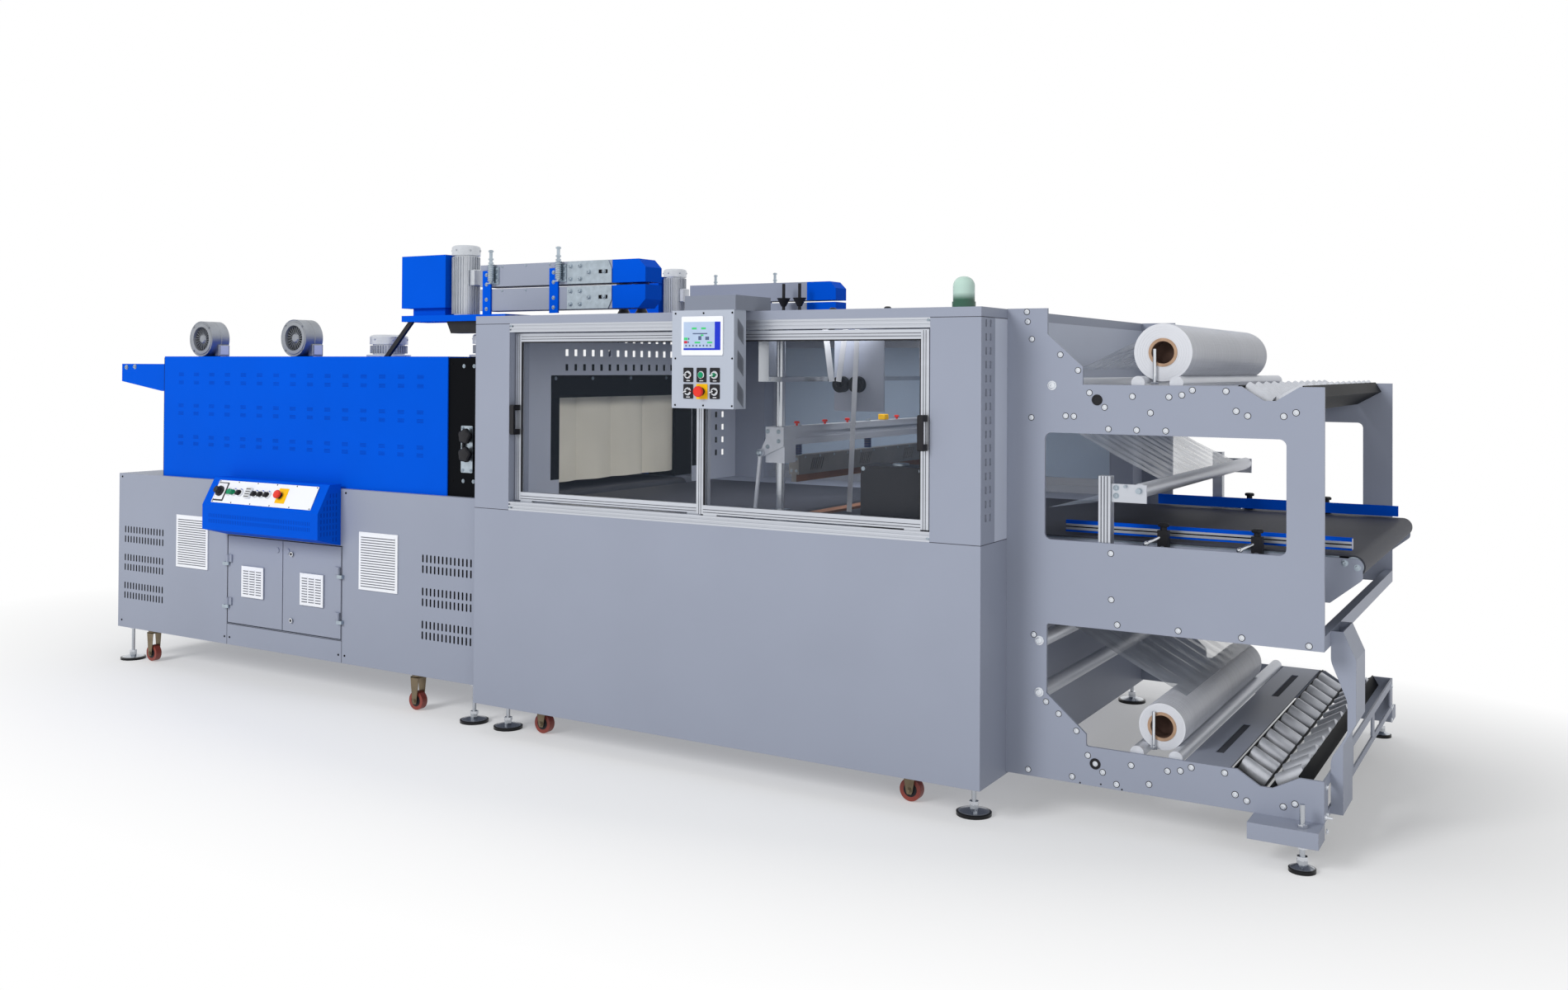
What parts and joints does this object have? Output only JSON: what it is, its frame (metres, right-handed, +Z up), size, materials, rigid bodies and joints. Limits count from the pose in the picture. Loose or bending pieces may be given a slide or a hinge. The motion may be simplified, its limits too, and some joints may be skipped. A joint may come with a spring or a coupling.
{
  "type": "shrink wrapping machine",
  "caption": "Shrink wrapping machine: film unwinder, glazed sealing cabinet with sliding guard doors and a falling jaw, and heat tunnel with belts on a closed base.",
  "frame": {"origin": "on the floor, at the middle of the machine's overall length and depth", "axes": "+X along the line towards the infeed end, +Y away from the operator, +Z up"},
  "size_m": [5.94, 2.251, 2.027],
  "materials": {
    "machine_grey": "satin powder coat",
    "signal_blue": "satin powder coat",
    "aluminium": "natural anodised",
    "zinc_steel": "zinc plated",
    "black_plastic": "matt",
    "white_plate": "satin",
    "belt_rubber": "matt",
    "clear_acrylic": "clear",
    "silicone": "matt",
    "clear_film": "glossy",
    "red_plastic": "glossy",
    "green_lens": "glossy",
    "display": "glossy"
  },
  "bodies": {
    "frame": {"back_side_plate": "machine_grey", "base_door_hinges": "zinc_steel", "base_vents": "white_plate", "belt_beds": "zinc_steel", "cabinet_columns": "machine_grey", "cabinet_lower_cover": "machine_grey", "cabinet_roof": "machine_grey", "castor_forks": "zinc_steel", "castor_wheels": "red_plastic", "console_controls": "white_plate", "control_console": "signal_blue", "conveyor_belts": "belt_rubber", "curved_post": "machine_grey", "dancer_posts": "aluminium", "door_rails": "aluminium", "end_channels": "machine_grey", "entry_curtain": "silicone", "exit_brackets": "signal_blue", "film_rollers": "aluminium", "film_rolls": "clear_film", "film_web": "clear_film", "foot_beams": "machine_grey", "front_side_plate": "machine_grey", "guide_clamps": "black_plastic", "guide_rails": "signal_blue", "hood_end_frames": "black_plastic", "hood_fans": "aluminium", "infeed_side_plates": "aluminium", "inner_end_walls": "machine_grey", "levelling_feet": "zinc_steel", "lower_track_rollers": "zinc_steel", "operator_panel": "machine_grey", "panel_display": "display", "panel_switches": "red_plastic", "rear_glazing_frame": "aluminium", "rear_panes": "clear_acrylic", "seal_anvil": "red_plastic", "seal_drive_box": "black_plastic", "seal_guides": "aluminium", "signal_lamp": "green_lens", "track_channels": "black_plastic", "tunnel_base": "machine_grey", "tunnel_hood": "signal_blue", "unit_bases": "signal_blue", "unit_beams": "aluminium", "unit_covers": "signal_blue", "unit_motors": "aluminium", "unit_plates": "zinc_steel", "unit_supports": "black_plastic", "upper_track_rollers": "zinc_steel"},
    "left_slider": {"left_guard_door": "aluminium", "left_door_pane": "clear_acrylic", "left_door_handle": "black_plastic"},
    "right_slider": {"right_guard_door": "aluminium", "right_door_pane": "clear_acrylic", "right_door_handle": "black_plastic"},
    "left_leaf": {"left_base_door": "machine_grey"},
    "right_leaf": {"right_base_door": "machine_grey"},
    "seal_head": {"seal_beam": "aluminium", "seal_jaw": "aluminium"}
  },
  "joints": [
    {"name": "left_door_slide", "type": "slide", "parent": "frame", "child": "left_slider", "axis": [1, 0, 0], "range_m": [0, 0.87]},
    {"name": "right_door_slide", "type": "slide", "parent": "frame", "child": "right_slider", "axis": [1, 0, 0], "range_m": [-0.87, 0]},
    {"name": "left_leaf_hinge", "type": "hinge", "parent": "frame", "child": "left_leaf", "pos_m": [-2.017, -0.8885, 0.475], "axis": [0, 0, -1], "range_deg": [0, 110]},
    {"name": "right_leaf_hinge", "type": "hinge", "parent": "frame", "child": "right_leaf", "pos_m": [-1.256, -0.8885, 0.475], "axis": [0, 0, 1], "range_deg": [0, 110]},
    {"name": "seal_head_slide", "type": "slide", "parent": "frame", "child": "seal_head", "axis": [0, 0, 1], "range_m": [-0.127, 0]}
  ]
}
